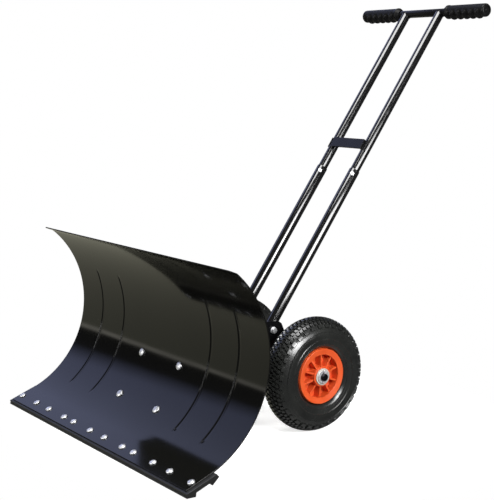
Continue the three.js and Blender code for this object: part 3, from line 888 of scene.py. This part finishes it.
def block_height(angle, turn):
    """1 on a tread block and 0 in a groove; turn counts pitches round the wheel."""
    for low, high, stagger, blocks in TREAD_ROWS:
        rise = (angle - low + TREAD_RAMP) / TREAD_RAMP if low else 1
        across = min(rise, (high + TREAD_RAMP - angle) / TREAD_RAMP)
        if across > 0:
            place = (turn * blocks - stagger) % 1
            ramp = BLOCK_RAMP * blocks
            along = min(place / ramp, (BLOCK_SHARE + ramp - place) / ramp)
            return min(1, max(0, across)) * min(1, max(0, along))
    return 0


def block_edges():
    """Where blocks start and end within one pitch, in every row."""
    edges = {0.0}
    for _, _, stagger, blocks in TREAD_ROWS:
        for k in range(blocks):
            start = (stagger + k) / blocks
            for edge in (0, BLOCK_RAMP, BLOCK_SHARE / blocks, BLOCK_SHARE / blocks + BLOCK_RAMP):
                edges.add(round((start + edge) % 1, 4))
    return sorted(edges)


def tyre_offset(angle, turn):
    """How far the surface stands off the tyre's outer section, in metres."""
    tread_edge = TREAD_ROWS[-1][1] + TREAD_RAMP
    if angle <= tread_edge:
        floor = TREAD_DEPTH - SHALLOW_BY * smooth_step((angle - SHALLOW_FROM) / (tread_edge - SHALLOW_FROM))
        return -floor * (1 - block_height(angle, turn))
    offset = -SIDE_STEP * (1 - smooth_step((angle - tread_edge) / SIDE_BLEND))
    for ring, half, height in SIDE_RINGS:
        offset += height * MM * (1 - smooth_step(abs(angle - ring) / half))
    return offset


def section_angles():
    angles = {0.0, 43.0, 50.0, 57.0}
    for low, high, _, _ in TREAD_ROWS:
        angles |= {low, high, max(0.0, low - TREAD_RAMP), high + TREAD_RAMP}
    for ring, half, _ in SIDE_RINGS:
        angles |= {ring + half * k / 4 for k in range(-4, 5)}
    angles |= set(SIDE_STATIONS)
    half = sorted(float(a) for a in angles)
    return [-a for a in half[:0:-1]] + half


def tyre_shape():
    """A ring of rubber about Z. Its grid follows the edges of the blocks."""
    stops = block_edges()
    rows = []
    for signed in section_angles():
        angle = abs(signed)
        row = []
        shear = CHEVRON * min(angle, SHOULDER) / SHOULDER
        for pitch in range(TREAD_PITCHES):
            for stop in stops:
                reach = section_radius(angle) + tyre_offset(angle, stop)
                radius = TYRE_CENTRE_RADIUS + reach * cos(radians(angle))
                z = copysign(reach * sin(radians(angle)), signed)
                turn = 2 * pi * (pitch + stop + shear) / TREAD_PITCHES
                row.append((*polar(radius, turn), z))
        rows.append(row)
    rows.append([(x * BEAD_RADIUS / hypot(x, y), y * BEAD_RADIUS / hypot(x, y), BEAD_HALF_WIDTH)
                 for x, y, _ in rows[-1]])
    rows.append([(x, y, -z) for x, y, z in rows[-1]])
    return skin(rows, round_rows=True, round_columns=True)


# The hub, in mm. Heights are half its width at the place named.
HUB_BORE = 12.4
HUB_BOSS = 23.0
HUB_RIM_INNER = 48.5
HUB_OUTSIDE = 62.7
HUB_BOSS_HEIGHT = 32.5
HUB_RIB_HEIGHT = 28  # at the boss
HUB_RIB_FALL = 2  # from the boss to the rim
HUB_RIB_END = 24
HUB_RIM_EDGE = 28.9  # the rim's chamfered inner edge
HUB_RIM_HEIGHT = 29.5
HUB_RIM_RISE = 2.4  # towards the tyre
HUB_WEB = 9.0
HUB_FILLET = 1.5
HUB_RIB_HALF = 1.9
HUB_DRAFT = 0.5


def hub_height(radius, on_rib):
    """Half the hub's width at a radius, in mm; on_rib is 1 on a rib's top and 0 in a pocket."""
    if radius <= HUB_BOSS:
        edge = min(radius - HUB_BORE, HUB_BOSS - radius)
        return HUB_BOSS_HEIGHT - max(0, 0.6 - edge)
    if radius >= HUB_RIM_INNER + 0.8:
        rise = (radius - HUB_RIM_INNER) / (HUB_OUTSIDE - HUB_RIM_INNER)
        edge = min(1.0, HUB_OUTSIDE - radius)
        return HUB_RIM_HEIGHT + HUB_RIM_RISE * smooth_step(rise) - 1.2 * (1 - edge) ** 2
    if radius > HUB_RIM_INNER:
        return HUB_RIM_EDGE
    if radius == HUB_RIM_INNER:
        return HUB_RIB_END * on_rib + HUB_WEB * (1 - on_rib)
    fall = 1 - (HUB_RIM_INNER - radius) / (HUB_RIM_INNER - HUB_BOSS)
    crown = HUB_RIB_HEIGHT - HUB_RIB_FALL * fall
    near_wall = min(radius - HUB_BOSS - 0.6, HUB_RIM_INNER - radius)
    fillet = max(0, HUB_FILLET - near_wall) ** 2
    return crown * on_rib + (HUB_WEB + fillet) * (1 - on_rib)


def hub_shape():
    """The hub about Z: both faces have pockets between straight ribs."""
    radii = [HUB_BORE, 13, 16, 20, 22.4, HUB_BOSS, 23.6, 24.4, 25.4, 28, 33, 38, 43, 46.6, 47.6,
             HUB_RIM_INNER, 48.9, 49.6, 51, 54, 57, 60, 61.7, 62.2, HUB_OUTSIDE]
    sector = 2 * pi / HUB_RIBS
    face = []
    for radius in radii:
        row = []
        edge = asin((HUB_RIB_HALF + HUB_DRAFT) / radius)
        top = asin(HUB_RIB_HALF / radius)
        places = [(-edge, 0), (-top, 1), (0, 1), (top, 1), (edge, 0)]
        places += [(edge + (sector - 2 * edge) * k / 8, 0) for k in range(1, 8)]
        for rib in range(HUB_RIBS):
            for turn, on_rib in places:
                x, y = polar(radius, rib * sector + turn)
                row.append((x * MM, y * MM, hub_height(radius, on_rib) * MM))
        face.append(row)
    other = [[(x, y, -z) for x, y, z in row] for row in face[::-1]]
    return skin(face + other, round_rows=True, round_columns=True)


BUSH = mm(bore=8.3, body=12, flange=19, flange_thickness=2.2, inside=12)


def bush_shape(width):
    """A flanged bush about Z; the flange's outer face is at `width`."""
    bore, body, flange, thickness, inside = BUSH.values()
    under = width - thickness
    section = [(bore, inside), (body, inside), (body, under),
               (flange, under), (flange, width), (bore, width)]
    return lathe(rounded(section, 0.5 * MM, 3), 64)


def build_wheels():
    tyre, hub = tyre_shape(), hub_shape()
    for side, sign in SIDES:
        centre = Vector(joints[f"wheel_{side}_spin"]["pos_m"])
        place = Matrix.Translation(centre) @ along_x(sign)
        stand_in(f"tyre_{side}", tyre, TYRE, place, sharp=40)
        stand_in(f"hub_{side}", hub, HUB, place, sharp=35, bevel=0.35 * MM)
        width = abs(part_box(f"bush_outer_{side}")[0 if sign < 0 else 1].x - centre.x)
        bush = bush_shape(width)
        stand_in(f"bush_outer_{side}", bush, BUSH_NYLON, place)
        turned_in = place @ Matrix.Rotation(pi, 4, "X")
        stand_in(f"bush_inner_{side}", bush, BUSH_NYLON, turned_in)


# -------------------- handle

HANDLE_UP = Vector(joints["handle_slide"]["axis"]).normalized()
BAR_CENTRE = middle("t_bar")
HANDLE_FOOT = BAR_CENTRE - HANDLE_UP * BAR_ALONG
HANDLE_BACK = HANDLE_UP.cross(Vector((1, 0, 0)))
ON_HANDLE = (Matrix.Translation(HANDLE_FOOT)
             @ Matrix((Vector((1, 0, 0)), HANDLE_BACK, HANDLE_UP)).transposed().to_4x4())
TUBE_X = abs(middle("lower_tube_right").x)


def coped_tube(outer, inner, low, bar_radius, bar_height, sides=64):
    """A tube whose top fits round a bar that lies along X, and the outline of that top."""
    widest = bar_radius * 0.97  # past this the top stays level

    def top(radius, angle):
        across = min(abs(radius * sin(angle)), widest)
        return bar_height - sqrt(bar_radius ** 2 - across ** 2)

    turns = [2 * pi * k / sides for k in range(sides)]
    rows = [[(*polar(radius, a), low) for a in turns] for radius in (inner, outer)]
    rows += [[(*polar(radius, a), top(radius, a)) for a in turns] for radius in (outer, inner)]
    return skin(rows, round_rows=True, round_columns=True), rows[2]


def build_tubes():
    beads = []
    for side, sign in SIDES:
        place = ON_HANDLE @ Matrix.Translation((sign * TUBE_X, 0, 0))
        lower = ring_shape(**LOWER_TUBE, rounding=0.5 * MM)
        stand_in(f"lower_tube_{side}", lower, TUBE_PAINT, place)
        upper, edge = coped_tube(**UPPER_TUBE, bar_radius=BAR_RADIUS + 0.2 * MM, bar_height=BAR_ALONG)
        stand_in(f"upper_tube_{side}", upper, TUBE_PAINT, place)
        beads.append(moved(bead(edge, 1.4 * MM, closed=True), place))
        for across in (-6 * MM, 6 * MM):
            path = line(*[(across, -10.6 * MM, along) for along in PLATE_ALONG])
            beads.append(moved(bead(path, 1.5 * MM), place))

        outside = SIDE_PLATE_OUTSIDE + GAP
        under_head = 1.2 * MM
        nut = TUBE_X - LOWER_TUBE["outer"] - GAP
        bolt = together(
            washer(8 * MM, FOOT_BOLT_RADIUS, outside, under_head),
            hex_bolt(13 * MM, FOOT_BOLT_RADIUS, outside + under_head, nut, nut - 8 * MM),
        )
        for name, along in FOOT_BOLTS.items():
            turn = Matrix.Translation((0, 0, along)) @ along_x(sign)
            stand_in(f"foot_bolt_{name}_{side}", bolt, ZINC, ON_HANDLE @ turn)

        base = place @ Vector((0, 0, HEIGHT_SCREW_ALONG))
        on_axis = along_axis(base, joints[f"height_screw_{side}_turn"]["axis"])
        stand_in(f"height_screw_{side}", screw_shape(), ZINC, on_axis)
    piece("handle_welds", together(*beads), FRAME_PAINT, "t_bar", sharp=80)


def screw_shape():
    """A round-headed clamp screw along Z, measured from the middle of the tube."""
    head = LOWER_TUBE["outer"] + GAP
    inside = UPPER_TUBE["outer"] + GAP
    rim = head + 1 * MM
    profile = [(0, inside), (SCREW_SHANK, inside), (SCREW_SHANK, head), (SCREW_HEAD, head),
               (SCREW_HEAD, rim)]
    for turn in (30, 60, 90):
        angle = radians(turn)
        profile.append((SCREW_HEAD * cos(angle), rim + 2 * MM * sin(angle)))
    profile[-1] = (0, head + 3 * MM)
    return lathe(profile, 32)


def build_cross_plate():
    low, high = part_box("cross_plate")
    half = (high.x - low.x) / 2
    back = -(UPPER_TUBE["outer"] + GAP)
    near, far = PLATE_ALONG
    corners = [(-half, near), (half, near), (half, far), (-half, far)]
    flat = prism(rounded(corners, 2.5 * MM, 5), -back, PLATE_THICKNESS - back)
    upright = Matrix(((1, 0, 0, 0), (0, 0, -1, 0), (0, 1, 0, 0), (0, 0, 0, 1)))
    stand_in("cross_plate", flat, FRAME_PAINT, ON_HANDLE @ upright, bevel=0.5 * MM)


def grip_shape(inner, outer):
    """A moulded grip about Z, closed at its outer end. Its finger bumps face +X."""
    start = inner + 18 * MM

    def fingers(radius, z, angle):
        facing = smooth_step(cos(angle) * 1.6 - 0.1)
        if radius < GRIP_RADIUS - 1.5 * MM or not start < z < outer - 8 * MM:
            return radius
        wave = 0.5 - 0.5 * cos(2 * pi * (z - start) / FINGER_PITCH)
        return radius + facing * FINGER_DEPTH * (wave - 0.4)

    bore = BAR_RADIUS + GAP
    collar = GRIP_RADIUS + 0.9 * MM
    floor = outer - 4.6 * MM  # where the bore ends
    profile = [(bore, inner), (bore + 1.6 * MM, inner - 1 * MM), (bore + 2.2 * MM, inner),
               (GRIP_RADIUS - 0.8 * MM, inner + 7 * MM), (collar, inner + 8 * MM),
               (collar, inner + 12 * MM), (GRIP_RADIUS, inner + 13 * MM)]
    for i in range(GRIP_STEPS + 1):
        profile.append((GRIP_RADIUS, start + (outer - 6 * MM - start) * i / GRIP_STEPS))
    # a rounded rim, a recess in the end, and a button in the middle of it
    end = [(0.5, 3), (2.2, 0.6), (4, 0), (6, 0.4), (6.4, 3)]
    profile += [(GRIP_RADIUS - inward * MM, outer - back * MM) for inward, back in end]
    button = [(4, 3.2), (3.6, 1.6), (2, 1.1), (0, 1)]
    profile += [(radius * MM, outer - back * MM) for radius, back in button]
    profile += [(0, floor), (bore, floor)]
    return lathe(profile, 64, fingers)


def build_bar():
    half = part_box("t_bar")[1].x
    turn = Matrix.Translation(BAR_CENTRE) @ along_x()
    bar = ring_shape(BAR_RADIUS - BAR_WALL, BAR_RADIUS, -half, half, 0.5 * MM, 64)
    stand_in("t_bar", bar, FRAME_PAINT, turn)
    down = Vector((0, -0.35, -1)).normalized()  # the finger bumps face down and a little forward
    for side, sign in SIDES:
        low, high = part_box(f"grip_{side}")
        reach = sorted((abs(low.x), abs(high.x)))
        outward = Vector((sign, 0, 0))
        turn = Matrix((down, outward.cross(down), outward)).transposed().to_4x4()
        place = Matrix.Translation(BAR_CENTRE) @ turn
        stand_in(f"grip_{side}", grip_shape(*reach), GRIP, place, sharp=60)


# -------------------- studio

# Brightness of the room by elevation in degrees, as the gloss paint sees it on either hand.
LEFT_ROOM = [(-90, (0.47, 0.455, 0.355)), (2.6, (0.45, 0.45, 0.35)), (3.4, (1.3, 1.26, 1.1)),
             (4.8, (1.3, 1.26, 1.1)), (5.6, (0.03, 0.03, 0.03)), (15, (0.04, 0.04, 0.045)),
             (23, (0.68, 0.76, 1.24)), (90, (0.85, 0.95, 1.45))]
RIGHT_ROOM = [(-90, (0.5, 0.5, 0.49)), (-50, (0.2, 0.2, 0.2)), (-22, (0.08, 0.08, 0.08)),
              (60, (0.06, 0.06, 0.06)), (78, (0.5, 0.5, 0.52)), (90, (0.5, 0.5, 0.52))]
LEFT_EDGES = ((-0.95, -0.91), (-0.75, -0.66))  # X of directions: the left room lies between these


def room_colours(tree, height, stops):
    """Colours by elevation; height is a direction's, from -1 straight down to 1 straight up."""
    places = [((sin(radians(elevation)) + 1) / 2, colour) for elevation, colour in stops]
    return ramp(tree, rescaled(tree, height, (-1, 1), (0, 1)), places)


def mixed(tree, share, first, second):
    """One colour fading into another as share goes from 0 to 1."""
    inputs = {"Factor_Float": share, "A_Color": first, "B_Color": second}
    mix = add_node(tree, "Mix", inputs, data_type="RGBA", factor_mode="UNIFORM")
    return next(socket for socket in mix.outputs if socket.identifier == "Result_Color")


def seen_by_camera(tree):
    return add_node(tree, "LightPath", {}).outputs["Is Camera Ray"]


def build_room():
    """The world: a white backdrop to look at, and a darker room for the paint to reflect."""
    world = bpy.data.worlds.new("studio")
    world.use_nodes = True
    bpy.context.scene.world = world
    tree = world.node_tree
    where = add_node(tree, "TexCoord", {}).outputs["Generated"]
    direction = add_node(tree, "SeparateXYZ", {"Vector": where}).outputs
    first, second = [rescaled(tree, direction["X"], edge, change, "SMOOTHSTEP")
                     for edge, change in zip(LEFT_EDGES, ((1, 0), (0, 1)))]
    right_share = add_node(tree, "Math", {"Value": first, "Value_001": second}, operation="MAXIMUM")
    rooms = [room_colours(tree, direction["Z"], stops) for stops in (LEFT_ROOM, RIGHT_ROOM)]
    room = mixed(tree, right_share.outputs["Value"], *rooms)
    shown = mixed(tree, seen_by_camera(tree), room, (1, 1, 1, 1))
    connect(tree, tree.nodes["Background"], {"Color": shown})


FLOOR_GLOW = 0.75  # light of its own, so that shadows stay pale
FLOOR_CLEAR = (0.35, 0.62)  # metres from the middle over which the floor runs out


def build_floor():
    """A pale floor that melts into the backdrop; the gloss paint and the tyres do not reflect it."""
    size = 3
    corners = [(-size, -size, 0), (size, -size, 0), (size, size, 0), (-size, size, 0)]
    mesh = bpy.data.meshes.new("floor")
    mesh.from_pydata(corners, [], [[0, 1, 2, 3]])
    floor = bpy.data.objects.new("floor", mesh)
    floor.location.z = -0.5 * MM
    bpy.context.scene.collection.objects.link(floor)

    made, shader = material("pale_floor", (0.86, 0.86, 0.85), 0.9, specular=0.1)
    mesh.materials.append(made)
    tree = made.node_tree
    where = add_node(tree, "TexCoord", {}).outputs["Object"]
    length = add_node(tree, "VectorMath", {"Vector": where}, operation="LENGTH").outputs["Value"]
    fade = rescaled(tree, length, FLOOR_CLEAR, (1, 0), "SMOOTHSTEP")
    share = add_node(tree, "Math", {"Value": fade, "Value_001": seen_by_camera(tree)},
                     operation="MULTIPLY")
    connect(tree, shader, {"Emission Color": (1, 1, 0.99, 1), "Emission Strength": FLOOR_GLOW,
                           "Alpha": share.outputs["Value"]})


# name, place, aim, roll in degrees, width, height, power in watts
LIGHTS = [("right_softbox", (2.07, -0.07, 1.24), (0, 0.3, 0.6), -27, 2.1, 0.95, 56),
          ("right_core", (1.95, -0.15, 1.15), (0.3, 0, 0.13), 0, 0.45, 0.45, 17),
          ("overhead", (0.2, -0.3, 2.6), (0, 0, 0), 0, 1.4, 1.4, 44),
          ("front", (-0.4, -3.1, 1.0), (0, 0, 0.3), 0, 1.2, 1.2, 40)]


def build_lights():
    for name, place, aim, roll, width, height, power in LIGHTS:
        lamp = bpy.data.lights.new(name, "AREA")
        lamp.shape = "RECTANGLE"
        lamp.size = width
        lamp.size_y = height
        lamp.energy = power
        made = bpy.data.objects.new(name, lamp)
        turn = (Vector(aim) - Vector(place)).to_track_quat("-Z", "Y").to_matrix().to_4x4()
        turn = turn @ Matrix.Rotation(radians(roll), 4, "Z")
        made.matrix_world = Matrix.Translation(place) @ turn
        made.visible_camera = False
        bpy.context.scene.collection.objects.link(made)


make_camera()
build_blade()
build_strip()
build_bracket()
build_knob()
build_axle()
build_wheels()
build_tubes()
build_cross_plate()
build_bar()
build_room()
build_floor()
build_lights()
bpy.context.scene.view_settings.view_transform = "Standard"
